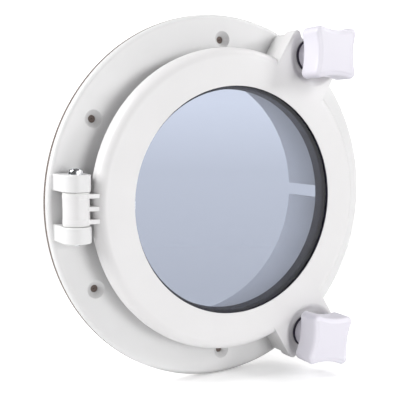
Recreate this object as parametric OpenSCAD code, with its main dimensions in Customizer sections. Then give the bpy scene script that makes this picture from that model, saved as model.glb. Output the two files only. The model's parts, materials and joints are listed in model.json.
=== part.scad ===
// Opening porthole window: a flanged frame for a round cut-out in a wall, and a glazed lid
// that swings on a side hinge and is held shut by two captive star knobs.
//
// Every piece is drawn lying on the wall: X to the right, Y up, Z out into the room, with the
// wall's surface at Z = 0 and the cut-out's centre at the origin. stand_up() then turns it
// upright, so that the room side faces -Y and up is +Z.

/* [Frame] */
// Outside diameter of the flange
flange_d = 279; // [276:1:288]
// Height of the flange's front above the wall, gasket included
flange_front = 7.7; // [6.5:0.1:9]
// Outside diameter of the spigot that passes through the wall
spigot_d = 209; // [205:1:210]
// Wall thickness of the spigot and of the coaming in front of it
spigot_wall = 4.5; // [3.5:0.5:5.5]
// How far the spigot reaches behind the wall's surface
spigot_depth = 42; // [20:1:60]
// Width of the drain slot in the spigot
drain_w = 10.6; // [8:0.2:14]
// Height of the coaming that the lid's seal closes on
coaming_top = 19; // [18:0.5:20]
// Thickness of the gasket between flange and wall
gasket_t = 3; // [1.5:0.5:3]

/* [Fixing screws] */
// Number of screw holes around the flange
screw_count = 6; // [4:2:8]
// Diameter of the circle that the screw holes lie on
screw_circle_d = 242; // [240:1:244]
// Diameter of each screw hole
screw_hole_d = 5.5; // [4.5:0.5:6]
// Diameter of each countersink at the flange's face
countersink_d = 13; // [10:0.5:13]

/* [Lid] */
// Outside diameter of the lid ring
lid_d = 227; // [225:1:228]
// Height of the lid's back face
lid_back = 21; // [20.8:0.1:22]
// Height of the lid's front face
lid_front = 32.5; // [31.5:0.5:34]
// Radius of the round along the lid's outer front edge
lid_round = 8; // [4:1:9]
// Diameter of the opening in the lid's front
opening_d = 170.2; // [160:0.2:174]
// Thickness of the glass pane
glass_t = 5; // [4:0.5:6]
// Diameter of the clear view through the glazing seal
sight_d = 166; // [160:1:168]

/* [Hinge] */
// Distance of the hinge pin from the centre
hinge_x = 124.5; // [124:0.5:126]
// Height of the hinge pin above the wall
hinge_z = 24; // [23:0.5:25]
// Radius of the barrel on the lid
barrel_r = 9.3; // [8:0.1:9.5]
// Radius of the two ears on the frame
ear_r = 10; // [9:0.1:10.2]
// Height of each ear along the pin
ear_h = 11.6; // [8:0.2:14]
// Length of the lid's barrel, with its two bushes
barrel_h = 22.6; // [18:0.2:24]
// Diameter of the hinge screw
hinge_pin_d = 5; // [4:0.5:6]

/* [Star knobs] */
// Angle of each knob above and below the horizontal centre line
knob_angle = 58; // [52:0.5:60]
// Distance of each knob's axis from the centre
knob_circle_r = 130; // [128:0.5:131]
// Radius over the tips of the star
star_r = 25; // [24:0.5:26]
// Radius at the star's waist, between two tips
waist_r = 17; // [15:0.5:17.5]
// Radius of each rounded tip
tip_r = 4.5; // [4:0.5:5.5]
// Thickness of the star
star_h = 20; // [14:1:24]
// Diameter of the stud
stud_d = 6; // [5:0.5:6.5]
// How far a knob travels when it is unscrewed
knob_travel = 5; // [4:0.5:5]
// Turn of the upper star from its cross position
upper_turn = 0; // [-45:1:45]
// Turn of the lower star from its cross position
lower_turn = -9; // [-45:1:45]

/* [Hidden] */
$fn = 96;
eps = 0.01;

flange_r = flange_d / 2;
edge_round = 3.6;
spigot_r = spigot_d / 2;
spigot_inner_r = spigot_r - spigot_wall;
gasket_r = flange_r + 0.2;
gasket_gap = 1.5;
screw_circle_r = screw_circle_d / 2;
countersink_depth = (countersink_d - screw_hole_d) / 2;

lid_r = lid_d / 2;
opening_r = opening_d / 2;
opening_chamfer = 0.3;
sight_r = sight_d / 2;

// The glass sits in a pocket that is open at the lid's back, behind a thin lip
lip_t = 0.6;
lip_back = lid_front - lip_t;
seal_front_t = 1.2;
seal_side_t = 1;
glass_overlap = 2.9;
glass_r = opening_r + glass_overlap;
glass_front = lip_back - seal_front_t;
glass_back = glass_front - glass_t;
pocket_r = glass_r + seal_side_t;
skirt_t = 1.2;
skirt_end = lid_back - 4.5;

lid_seal_w = 5;
lid_seal_r = spigot_inner_r + spigot_wall / 2;
lid_seal_depth = 3.2;
lid_seal_gap = 0.2;
seal_bead_w = 3;

// Tabs of the lid, and the pedestals of the frame that they close on
tab_half_w = 25.7;
tab_end_r = 137.6;
tab_corner_r = 4;
tab_root_r = 90;
tab_back = lid_back + 0.2;
pedestal_top = lid_back - 0.5;
pedestal_half_w = 25.2;
pedestal_end_r = 137;
pedestal_corner_r = 6;
seal_room = 0.6;

// The dish around each knob, from its flat seat out to its rim
seat_z = 26.5;
seat_r = 14.6;
dish_r = 24.4;
dish_steps = 10;
dish_over = 0.12;

// Knob boss, washer, stud, clip and insert, each height measured from the wall
washer_r = 13;
washer_t = 1.4;
washer_hole_r = stud_d / 2 + 0.4;
boss_r = 12;
boss_top_r = 10.6;
boss_z = seat_z + washer_t + 0.1;
star_z = 40;
star_edge = 2.6;
star_dome = 1.2;
stud_r = stud_d / 2;
stud_top = star_z + star_h - 8;
stud_clearance = 0.5;
recess_depth = 5;
insert_r = 5;
insert_top = pedestal_top - recess_depth;
insert_bottom = 5.5;
insert_bore_r = stud_r + stud_clearance;
stud_tip = insert_top - knob_travel + 0.2;
stud_chamfer = 0.8;
clip_r = 4.7;
clip_t = 1;
clip_groove_r = stud_r - 0.7;
clip_top = lid_back + 1.2 - knob_travel;
clip_gap_angle = 70;
clip_room_r = clip_r + 0.8;
clip_room_depth = 1.5;
lug_hole_r = stud_r + 0.5;

// Hinge
pin_r = hinge_pin_d / 2;
pin_fit = 0.06;
ear_start = barrel_h / 2 + 0.3;
ear_end = ear_start + ear_h;
bush_r = 4;
bush_flange_r = barrel_r - 0.3;
bush_flange_t = 1;
bush_length = 7;
barrel_half = barrel_h / 2 - bush_flange_t;
rib_h = 3.2;
rib_front = hinge_z + 6.6;
rib_back = lid_back + 0.6;
rib_root = 5;
ear_foot = 1.6;
head_r = 5;
head_h = 4.2;
pin_tail = 1.8;
cross_w = 1.3;
cross_l = 5.4;
cross_depth = 2.2;
hinge_insert_r = 3.9;
hinge_insert_l = 8;

steel = [0.80, 0.81, 0.83];
white_abs = [0.93, 0.93, 0.93];
black_rubber = [0.08, 0.08, 0.09];
brass = [0.76, 0.61, 0.33];

// Points of an arc about c, from angle a0 to angle a1, in n steps
function arc(c, r, a0, a1, n) =
    [for (i = [0 : n]) let (a = a0 + (a1 - a0) * i / n) c + r * [cos(a), sin(a)]];

// Turns a piece that lies on the wall upright
module stand_up() {
    rotate([90, 0, 0])
        children();
}

// Moves a shape from the centre to a knob's axis; side is 1 for the upper and -1 for the lower
module at_knob(side) {
    rotate(side * knob_angle)
        translate([knob_circle_r, 0, 0])
            rotate(-side * knob_angle)
                children();
}

// A flat-sided ring from height z0 to height z1
module ring(r_out, r_in, z0, z1) {
    translate([0, 0, z0])
        difference() {
            cylinder(r = r_out, h = z1 - z0, $fn = 180);
            translate([0, 0, -1])
                cylinder(r = r_in, h = z1 - z0 + 2, $fn = 180);
        }
}

// A disc or hole at height z0 to z1 with its axis out of the wall
module post(r, z0, z1) {
    translate([0, 0, z0])
        cylinder(r = r, h = z1 - z0);
}

// A round bar along the hinge line, from y0 up to y1
module pin(r, y0, y1) {
    translate([-hinge_x, y0, hinge_z])
        rotate([-90, 0, 0])
            cylinder(r = r, h = y1 - y0);
}

// Outline of a tab: parallel sides, square to a knob's radius, with two round corners
module tab_outline(half_w, end_r, corner_r) {
    translate([tab_root_r, -half_w])
        square([end_r - corner_r - tab_root_r, 2 * half_w]);
    translate([tab_root_r, -half_w + corner_r])
        square([end_r - tab_root_r, 2 * (half_w - corner_r)]);
    for (s = [-1, 1])
        translate([end_r - corner_r, s * (half_w - corner_r)])
            circle(r = corner_r, $fn = 48);
}

// A tab on a knob's radius, from height z0 to height z1
module tab(side, half_w, end_r, corner_r, z0, z1) {
    rotate(side * knob_angle)
        translate([0, 0, z0])
            linear_extrude(z1 - z0)
                tab_outline(half_w, end_r, corner_r);
}

// The dish around a knob's axis: a flat seat with a smooth rise to the rim
module dish() {
    rise = lid_front - seat_z + dish_over;
    slope = [for (i = [0 : dish_steps])
        [seat_r + (dish_r - seat_r) * i / dish_steps,
         seat_z + rise * (1 - cos(180 * i / dish_steps)) / 2]];
    rotate_extrude($fn = 120)
        polygon(concat([[0, seat_z]], slope, [[0, seat_z + rise]]));
}

// One screw hole with its countersink
module screw_hole() {
    post(screw_hole_d / 2, -1, flange_front + 1);
    translate([0, 0, flange_front - countersink_depth])
        cylinder(r1 = screw_hole_d / 2, r2 = countersink_d / 2, h = countersink_depth);
    post(countersink_d / 2, flange_front, flange_front + 1);
}

// The same shape at every screw position
module at_screws() {
    for (i = [0 : screw_count - 1])
        rotate(30 + 360 * i / screw_count)
            translate([screw_circle_r, 0, 0])
                children();
}

// Section of the frame, turned about the centre: flange, coaming and spigot in one
module frame_section() {
    polygon(concat(
        [[spigot_inner_r, -spigot_depth],
         [spigot_r - 1, -spigot_depth],
         [spigot_r, -spigot_depth + 1],
         [spigot_r, gasket_t],
         [flange_r, gasket_t]],
        arc([flange_r - edge_round, flange_front - edge_round], edge_round, 0, 90, 8),
        arc([spigot_r + 2.5, flange_front + 2.5], 2.5, 270, 180, 5),
        [[spigot_r, coaming_top],
         [spigot_inner_r, coaming_top]]));
}

// One hinge ear: a round eye on a straight foot that widens a little at the flange
module ear(y0, y1) {
    translate([0, y1, 0])
        rotate([90, 0, 0])
            linear_extrude(y1 - y0)
                union() {
                    translate([-hinge_x, hinge_z])
                        circle(r = ear_r);
                    polygon([
                        [-hinge_x - ear_r - ear_foot, gasket_t + 1],
                        [-hinge_x + ear_r + ear_foot, gasket_t + 1],
                        [-hinge_x + ear_r + ear_foot, flange_front],
                        [-hinge_x + ear_r, flange_front + ear_foot],
                        [-hinge_x + ear_r, hinge_z],
                        [-hinge_x - ear_r, hinge_z],
                        [-hinge_x - ear_r, flange_front + ear_foot],
                        [-hinge_x - ear_r - ear_foot, flange_front]
                    ]);
                }
}

module base_frame() {
    color(white_abs)
        stand_up()
            difference() {
                union() {
                    rotate_extrude($fn = 180)
                        frame_section();
                    for (side = [-1, 1])
                        difference() {
                            tab(side, pedestal_half_w, pedestal_end_r, pedestal_corner_r,
                                gasket_t + 1, pedestal_top);
                            post(spigot_inner_r + 2, 0, pedestal_top + 1);
                            post(spigot_r + seal_room, coaming_top - 0.4, pedestal_top + 1);
                        }
                    for (s = [-1, 1])
                        ear(s > 0 ? ear_start : -ear_end, s > 0 ? ear_end : -ear_start);
                }
                at_screws()
                    screw_hole();
                for (side = [-1, 1])
                    at_knob(side) {
                        post(insert_r, insert_bottom, insert_top + eps);
                        post(clip_room_r, insert_top, pedestal_top + 1);
                    }
                pin(pin_r, -ear_end - 1, ear_end + 1);
                pin(hinge_insert_r, -ear_end - 1, -ear_end + hinge_insert_l);
                translate([spigot_inner_r - 5, -drain_w / 2, -spigot_depth - 1])
                    cube([spigot_wall + 10, drain_w, spigot_depth + 1]);
            }
}

module wall_gasket() {
    color([0.55, 0.50, 0.47])
        stand_up()
            difference() {
                ring(gasket_r, spigot_r + gasket_gap, 0, gasket_t);
                at_screws()
                    post(screw_hole_d / 2, -1, gasket_t + 1);
            }
}

// Threaded insert in a pedestal; its thread is left open by the stud's clearance
module insert(side) {
    color(brass)
        stand_up()
            at_knob(side)
                difference() {
                    post(insert_r, insert_bottom, insert_top);
                    post(insert_bore_r, insert_bottom + 1, insert_top + 1);
                }
}

module insert_upper() {
    insert(1);
}

module insert_lower() {
    insert(-1);
}

// Pan-head screw that is the hinge's pin
module hinge_screw() {
    color(steel)
        stand_up()
            difference() {
                union() {
                    pin(pin_r, -ear_end - pin_tail, ear_end + 1);
                    translate([-hinge_x, ear_end, hinge_z])
                        rotate([-90, 0, 0])
                            rotate_extrude()
                                polygon(concat(
                                    [[0, 0], [head_r, 0]],
                                    arc([head_r - 2.4, head_h - 2.4], 2.4, 0, 70, 6),
                                    [[0, head_h]]));
                }
                for (turn = [0, 90])
                    translate([-hinge_x, ear_end + head_h - cross_depth, hinge_z])
                        rotate([-90, turn, 0])
                            translate([-cross_l / 2, -cross_w / 2, 0])
                                cube([cross_l, cross_w, cross_depth + 1]);
            }
}

// Threaded bush in the lower ear that the hinge screw is driven into
module hinge_insert() {
    color(brass)
        stand_up()
            difference() {
                pin(hinge_insert_r, -ear_end, -ear_end + hinge_insert_l);
                pin(pin_r, -ear_end - 1, -ear_end + hinge_insert_l + 1);
            }
}

// Section of the lid ring: rounded outside, with the lip and the pocket for the glass inside
module lid_section() {
    polygon(concat(
        [[pocket_r, lid_back],
         [lid_r - 0.5, lid_back],
         [lid_r, lid_back + 0.5]],
        arc([lid_r - lid_round, lid_front - lid_round], lid_round, 0, 90, 12),
        [[opening_r + opening_chamfer, lid_front],
         [opening_r, lid_front - opening_chamfer],
         [opening_r, lip_back],
         [pocket_r, lip_back]]));
}

// One of the flat ribs between the barrel and the ring, centred at height y
module hinge_rib(y) {
    translate([-hinge_x, y - rib_h / 2, rib_back])
        cube([hinge_x - lid_r + rib_root, rib_h, rib_front - rib_back]);
}

module lid_ring() {
    rib_y = barrel_half - rib_h / 2;
    color(white_abs)
        stand_up()
            difference() {
                union() {
                    rotate_extrude($fn = 180)
                        lid_section();
                    for (side = [-1, 1])
                        tab(side, tab_half_w, tab_end_r, tab_corner_r, tab_back, lid_front);
                    pin(barrel_r, -barrel_half, barrel_half);
                    for (y = [-rib_y, 0, rib_y])
                        hinge_rib(y);
                }
                for (side = [-1, 1])
                    at_knob(side) {
                        dish();
                        post(lug_hole_r, lid_back - 1, lid_front);
                        post(clip_room_r, lid_back - 1, lid_back + clip_room_depth);
                    }
                pin(bush_r, -barrel_half - 1, barrel_half + 1);
                ring(lid_seal_r + lid_seal_w / 2, lid_seal_r - lid_seal_w / 2,
                     lid_back - 1, lid_back + lid_seal_depth);
            }
}

module glass_pane() {
    color([0.62, 0.70, 0.80, 0.5])
        stand_up()
            post(glass_r, glass_back, glass_front, $fn = 180);
}

// Black rubber that holds the pane, with a skirt that hangs into the coaming
module glazing_seal() {
    color(black_rubber)
        stand_up()
            rotate_extrude($fn = 180)
                polygon([
                    [sight_r, skirt_end],
                    [sight_r + skirt_t, skirt_end],
                    [sight_r + skirt_t, lid_back],
                    [pocket_r, lid_back],
                    [pocket_r, lip_back],
                    [opening_r, lip_back],
                    [opening_r, glass_front],
                    [glass_r, glass_front],
                    [glass_r, glass_back],
                    [sight_r, glass_back]
                ]);
}

// Rubber in the groove at the lid's back, with the bead that meets the coaming
module lid_seal() {
    groove_top = lid_back + lid_seal_depth;
    bead_z = coaming_top + lid_seal_gap;
    color(black_rubber)
        stand_up()
            rotate_extrude($fn = 180)
                polygon([
                    [lid_seal_r - lid_seal_w / 2, groove_top],
                    [lid_seal_r - lid_seal_w / 2, lid_back],
                    [lid_seal_r - seal_bead_w / 2, lid_back - 0.4],
                    [lid_seal_r - seal_bead_w / 2, bead_z + 0.5],
                    [lid_seal_r - seal_bead_w / 2 + 0.5, bead_z],
                    [lid_seal_r + seal_bead_w / 2 - 0.5, bead_z],
                    [lid_seal_r + seal_bead_w / 2, bead_z + 0.5],
                    [lid_seal_r + seal_bead_w / 2, lid_back - 0.4],
                    [lid_seal_r + lid_seal_w / 2, lid_back],
                    [lid_seal_r + lid_seal_w / 2, groove_top]
                ]);
}

// Flanged bush in one end of the barrel; side is 1 for the top and -1 for the bottom
module hinge_bush(side) {
    end = barrel_h / 2;
    inner = barrel_half - bush_length;
    color([0.90, 0.90, 0.91])
        stand_up()
            difference() {
                union() {
                    pin(bush_r, side > 0 ? inner : -barrel_half, side > 0 ? barrel_half : -inner);
                    pin(bush_flange_r, side > 0 ? barrel_half : -end, side > 0 ? end : -barrel_half);
                }
                pin(pin_r + pin_fit, -end - 1, end + 1);
            }
}

module hinge_bush_top() {
    hinge_bush(1);
}

module hinge_bush_bottom() {
    hinge_bush(-1);
}

// Rubber washer between a knob's boss and the seat in the lid
module washer(side) {
    color(black_rubber)
        stand_up()
            at_knob(side)
                difference() {
                    post(washer_r, seat_z + 0.05, seat_z + 0.05 + washer_t);
                    post(washer_hole_r, seat_z - 1, seat_z + washer_t + 1);
                }
}

module washer_upper() {
    washer(1);
}

module washer_lower() {
    washer(-1);
}

// Open clip in the stud's groove, which keeps the knob on the lid
module clip(side) {
    reach = clip_r + 1;
    color(steel)
        stand_up()
            at_knob(side)
                translate([0, 0, clip_top - clip_t])
                    difference() {
                        cylinder(r = clip_r, h = clip_t);
                        translate([0, 0, -1])
                            cylinder(r = clip_groove_r + 0.15, h = clip_t + 2);
                        translate([0, 0, -1])
                            linear_extrude(clip_t + 2)
                                polygon([
                                    [0, 0],
                                    reach * [cos(clip_gap_angle / 2), sin(clip_gap_angle / 2)],
                                    [reach + 2, 0],
                                    reach * [cos(clip_gap_angle / 2), -sin(clip_gap_angle / 2)]
                                ]);
                    }
}

module clip_upper() {
    clip(1);
}

module clip_lower() {
    clip(-1);
}

// Outline of the four-armed star: round tips that run smoothly into hollow sides
module star_outline() {
    tip_at = star_r - tip_r;
    c = tip_at / sqrt(2);
    // Radius of the hollow sides, so that they meet the round tips smoothly
    hollow_r = ((waist_r - c) * (waist_r - c) + c * c - tip_r * tip_r) / (2 * (tip_r - waist_r + c));
    hollow_at = waist_r + hollow_r;
    half_sweep = atan2(c, hollow_at - c);
    polygon([for (quarter = [0 : 3])
        let (turn = 90 * quarter)
        each concat(
            arc(hollow_at * [cos(turn), sin(turn)], hollow_r,
                turn + 180 + half_sweep, turn + 180 - half_sweep, 10),
            arc(tip_at * [cos(turn + 45), sin(turn + 45)], tip_r,
                turn - half_sweep + 8, turn + 90 + half_sweep - 8, 10))]);
}

// Envelope that rounds the star's edges at the front and back
module star_envelope() {
    top = star_z + star_h;
    rotate_extrude($fn = 120)
        polygon(concat(
            [[0, star_z], [star_r - star_edge, star_z]],
            arc([star_r - star_edge, star_z + star_edge], star_edge, -80, 0, 6),
            arc([star_r - star_edge, top - star_edge - star_dome], star_edge, 0, 80, 6),
            [[star_r / 2, top - star_dome / 3], [0, top]]));
}

// Star knob with its boss, bored for the stud that is moulded in
module knob(side, turn) {
    color([0.95, 0.95, 0.98])
        stand_up()
            at_knob(side)
                rotate(turn)
                    difference() {
                        union() {
                            intersection() {
                                translate([0, 0, star_z])
                                    linear_extrude(star_h)
                                        star_outline();
                                star_envelope();
                            }
                            translate([0, 0, boss_z])
                                cylinder(r1 = boss_r, r2 = boss_top_r, h = star_z - boss_z + 1);
                        }
                        post(stud_r, boss_z - 1, stud_top);
                    }
}

module knob_upper() {
    knob(1, upper_turn);
}

module knob_lower() {
    knob(-1, lower_turn);
}

// Stud of a knob, with the groove for its clip and a tapered tip
module stud(side) {
    color(steel)
        stand_up()
            at_knob(side)
                difference() {
                    union() {
                        translate([0, 0, stud_tip])
                            cylinder(r1 = stud_r - stud_chamfer, r2 = stud_r, h = stud_chamfer);
                        post(stud_r, stud_tip + stud_chamfer, stud_top);
                    }
                    difference() {
                        post(stud_r + 1, clip_top - clip_t - 0.1, clip_top + 0.1);
                        post(clip_groove_r, clip_top - 5, clip_top + 5);
                    }
                }
}

module stud_upper() {
    stud(1);
}

module stud_lower() {
    stud(-1);
}

base_frame();
wall_gasket();
insert_upper();
insert_lower();
hinge_screw();
hinge_insert();
lid_ring();
glass_pane();
glazing_seal();
lid_seal();
hinge_bush_top();
hinge_bush_bottom();
washer_upper();
clip_upper();
knob_upper();
stud_upper();
washer_lower();
clip_lower();
knob_lower();
stud_lower();
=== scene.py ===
"""Looks of an opening porthole window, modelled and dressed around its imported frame.

A flanged moulding lines a round cut-out in a wall. A glazed lid swings on a hinge at its left and
is held shut by two captive star knobs at its right. Everything is in metres in the frame's own
axes: +Z is up, the wall's surface is at Y = 0 and the room is at -Y. A "height" is a distance
from the wall into the room.
"""

import json
import logging
import math
from collections.abc import Callable, Sequence
from dataclasses import dataclass
from enum import Enum

import bpy
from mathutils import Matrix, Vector


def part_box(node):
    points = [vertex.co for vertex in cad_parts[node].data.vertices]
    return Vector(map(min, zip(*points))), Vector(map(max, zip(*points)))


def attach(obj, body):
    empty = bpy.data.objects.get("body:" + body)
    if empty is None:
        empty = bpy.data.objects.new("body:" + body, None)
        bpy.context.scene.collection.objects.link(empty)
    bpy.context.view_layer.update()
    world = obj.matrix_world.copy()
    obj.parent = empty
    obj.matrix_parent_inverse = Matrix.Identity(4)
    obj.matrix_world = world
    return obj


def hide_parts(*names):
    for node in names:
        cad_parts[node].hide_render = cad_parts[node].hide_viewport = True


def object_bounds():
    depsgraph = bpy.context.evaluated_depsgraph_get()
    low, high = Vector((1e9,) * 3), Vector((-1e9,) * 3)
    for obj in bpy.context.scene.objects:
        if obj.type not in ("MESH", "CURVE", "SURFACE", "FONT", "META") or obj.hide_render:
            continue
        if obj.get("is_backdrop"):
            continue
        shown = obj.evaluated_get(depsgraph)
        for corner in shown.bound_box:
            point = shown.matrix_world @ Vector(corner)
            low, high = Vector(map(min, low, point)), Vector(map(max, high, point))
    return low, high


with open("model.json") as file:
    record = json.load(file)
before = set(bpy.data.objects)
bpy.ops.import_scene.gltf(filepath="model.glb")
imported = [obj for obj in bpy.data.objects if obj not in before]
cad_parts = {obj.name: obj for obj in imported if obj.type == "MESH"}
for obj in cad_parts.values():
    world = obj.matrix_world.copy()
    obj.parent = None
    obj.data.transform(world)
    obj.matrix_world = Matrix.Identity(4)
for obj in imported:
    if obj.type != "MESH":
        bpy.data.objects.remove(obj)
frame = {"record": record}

MM = 0.001
TINY = 0.01 * MM
TURN_STEPS = 192
FINE_TURN_STEPS = 96
SHARP = math.radians(32)
ROUND_STEP = 11.0
LIP = 0.6 * MM
GLASS_OVERLAP = 2.9 * MM
SEAL_GROOVE_DEPTH = 3.2 * MM

SectionPoint = tuple[float, float]
Corner = tuple[float, float, float]
Colour = tuple[float, float, float]

log = logging.getLogger("porthole")


class Axis(Enum):
    """Direction of the axis that a section is turned about."""

    OUT = (0.0, -1.0, 0.0)
    UP = (0.0, 0.0, 1.0)

    def place(self, radius: float, along: float, centre: Vector) -> Vector:
        """Puts a point of a section into the row frame.

        Args:
            radius: distance from the axis.
            along: height above the wall for OUT, or Z for UP.
            centre: any point of the axis.

        Returns:
            The point, on the +X side of the axis.
        """
        if self is Axis.OUT:
            return Vector((centre.x + radius, -along, centre.z))
        return Vector((centre.x + radius, centre.y, along))


class Joining(Enum):
    """How one solid acts on another."""

    ADD = "UNION"
    CUT = "DIFFERENCE"
    TRIM = "INTERSECT"


class Side(Enum):
    """Which of a mirrored pair a piece is; the value is the sign of its Z."""

    UPPER = 1
    LOWER = -1


ORIGIN = Vector((0.0, 0.0, 0.0))


# Sections and outlines


def arc(centre: SectionPoint, radius: float, start: float, end: float, steps: int) -> list[SectionPoint]:
    """Points along a round stretch.

    Args:
        centre: centre of the round.
        radius: its radius.
        start: first angle, in degrees.
        end: last angle, in degrees.
        steps: number of chords.

    Returns:
        The points from start to end, both included.
    """
    angles = [math.radians(start + (end - start) * i / steps) for i in range(steps + 1)]
    return [(centre[0] + radius * math.cos(a), centre[1] + radius * math.sin(a)) for a in angles]


def rounded(corners: Sequence[Corner], closed: bool = True) -> list[SectionPoint]:
    """Rounds the corners of a section.

    Args:
        corners: each corner's two coordinates and the radius of its round, 0 for a sharp one.
        closed: whether the last corner joins the first.

    Returns:
        The section's points, with each round made of short chords.
    """
    points: list[SectionPoint] = []
    count = len(corners)
    for i, (x, y, radius) in enumerate(corners):
        at_end = not closed and i in (0, count - 1)
        if radius <= 0 or at_end:
            points.append((x, y))
            continue
        here = Vector((x, y))
        before = (Vector(corners[i - 1][:2]) - here).normalized()
        after = (Vector(corners[(i + 1) % count][:2]) - here).normalized()
        half = before.angle(after) / 2
        setback = radius / math.tan(half)
        middle = here + (before + after).normalized() * (radius / math.sin(half))
        first, last = here + before * setback - middle, here + after * setback - middle
        start, end = math.atan2(first.y, first.x), math.atan2(last.y, last.x)
        sweep = math.degrees((end - start + math.pi) % math.tau - math.pi)
        steps = max(2, math.ceil(abs(sweep) / ROUND_STEP))
        points += arc((middle.x, middle.y), radius, math.degrees(start), math.degrees(start) + sweep, steps)
    return points


# Modelling moves


def only(piece: bpy.types.Object) -> None:
    """Makes one object the only selected and active one."""
    bpy.ops.object.select_all(action="DESELECT")
    piece.select_set(True)
    bpy.context.view_layer.objects.active = piece


def close_up(piece: bpy.types.Object) -> None:
    """Merges doubled points and turns the faces outwards."""
    only(piece)
    bpy.ops.object.mode_set(mode="EDIT")
    bpy.ops.mesh.select_mode(type="VERT")
    bpy.ops.mesh.select_all(action="SELECT")
    bpy.ops.mesh.remove_doubles(threshold=TINY / 10)
    bpy.ops.mesh.normals_make_consistent(inside=False)
    bpy.ops.object.mode_set(mode="OBJECT")


def trace(name: str, points: Sequence[Vector]) -> bpy.types.Object:
    """Pulls a line out of a single point; the piece is left in edit mode.

    Args:
        name: name of the piece.
        points: the line's points in the row frame.

    Returns:
        The piece, holding only the line.
    """
    bpy.ops.object.select_all(action="DESELECT")
    bpy.ops.mesh.primitive_plane_add(size=MM, location=points[0])
    piece = bpy.context.object
    piece.name = name
    bpy.ops.object.transform_apply(location=True, rotation=True, scale=True)
    bpy.ops.object.mode_set(mode="EDIT")
    bpy.ops.mesh.select_mode(type="VERT")
    bpy.ops.mesh.select_all(action="SELECT")
    bpy.ops.mesh.merge(type="CENTER")
    for here, there in zip(points, points[1:]):
        bpy.ops.mesh.extrude_region_move(TRANSFORM_OT_translate={"value": there - here})
    return piece


def turn(
    name: str,
    section: Sequence[SectionPoint],
    axis: Axis = Axis.OUT,
    centre: Vector = ORIGIN,
    steps: int = TURN_STEPS,
) -> bpy.types.Object:
    """Turns a section into a closed solid.

    Args:
        name: name of the piece.
        section: pairs of radius and distance along the axis; it is closed unless it ends on the axis.
        axis: direction of the axis.
        centre: any point of the axis.
        steps: number of steps round the axis.

    Returns:
        The turned piece.
    """
    points = [axis.place(radius, along, centre) for radius, along in section]
    if section[0][0] > 0:
        points.append(points[0])
    piece = trace(name, points)
    bpy.ops.mesh.select_all(action="SELECT")
    bpy.ops.mesh.spin(steps=steps, angle=math.tau, center=centre, axis=axis.value)
    bpy.ops.object.mode_set(mode="OBJECT")
    close_up(piece)
    return piece


def extrude(name: str, outline: Sequence[Vector], travel: Vector) -> bpy.types.Object:
    """Fills an outline and pulls it into a closed solid.

    Args:
        name: name of the piece.
        outline: corners of a flat outline, in the row frame.
        travel: the way it is pulled.

    Returns:
        The solid.
    """
    piece = trace(name, outline)
    bpy.ops.mesh.select_all(action="SELECT")
    bpy.ops.mesh.edge_face_add()
    bpy.ops.mesh.extrude_region_move(TRANSFORM_OT_translate={"value": travel})
    bpy.ops.object.mode_set(mode="OBJECT")
    close_up(piece)
    return piece


def bevel(
    piece: bpy.types.Object, chosen: Callable[[Vector, Vector], bool], width: float, segments: int
) -> None:
    """Rounds the edges that a test on their two end points chooses.

    Args:
        piece: the solid to work on.
        chosen: the test.
        width: width of the round.
        segments: number of chords across it.
    """
    only(piece)
    bpy.ops.object.mode_set(mode="EDIT")
    bpy.ops.mesh.select_mode(type="EDGE")
    bpy.ops.mesh.select_all(action="DESELECT")
    bpy.ops.object.mode_set(mode="OBJECT")
    points = piece.data.vertices
    for edge in piece.data.edges:
        first, last = (points[i].co for i in edge.vertices)
        edge.select = chosen(first, last)
    bpy.ops.object.mode_set(mode="EDIT")
    bpy.ops.mesh.bevel(offset=width, segments=segments, affect="EDGES")
    bpy.ops.object.mode_set(mode="OBJECT")


def combine(piece: bpy.types.Object, tool: bpy.types.Object, how: Joining) -> None:
    """Adds, cuts or trims a solid with another, which is used up."""
    only(piece)
    modifier = piece.modifiers.new("combine", "BOOLEAN")
    modifier.operation = how.value
    modifier.solver = "EXACT"
    modifier.object = tool
    bpy.ops.object.modifier_apply(modifier=modifier.name)
    bpy.data.objects.remove(tool)


def gather(pieces: Sequence[bpy.types.Object]) -> bpy.types.Object:
    """Makes several separate solids one object."""
    only(pieces[0])
    for piece in pieces[1:]:
        piece.select_set(True)
    bpy.ops.object.join()
    return pieces[0]


def smooth(piece: bpy.types.Object, sharp: float = SHARP) -> None:
    """Shades a piece smoothly, with crisp edges where it turns sharply and true flats."""
    only(piece)
    bpy.ops.object.shade_smooth_by_angle(angle=sharp)
    modifier = piece.modifiers.new("flats", "WEIGHTED_NORMAL")
    modifier.keep_sharp = True
    modifier.weight = 80
    bpy.ops.object.modifier_apply(modifier=modifier.name)


# Shader node groups, each placed in several finishes


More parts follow.
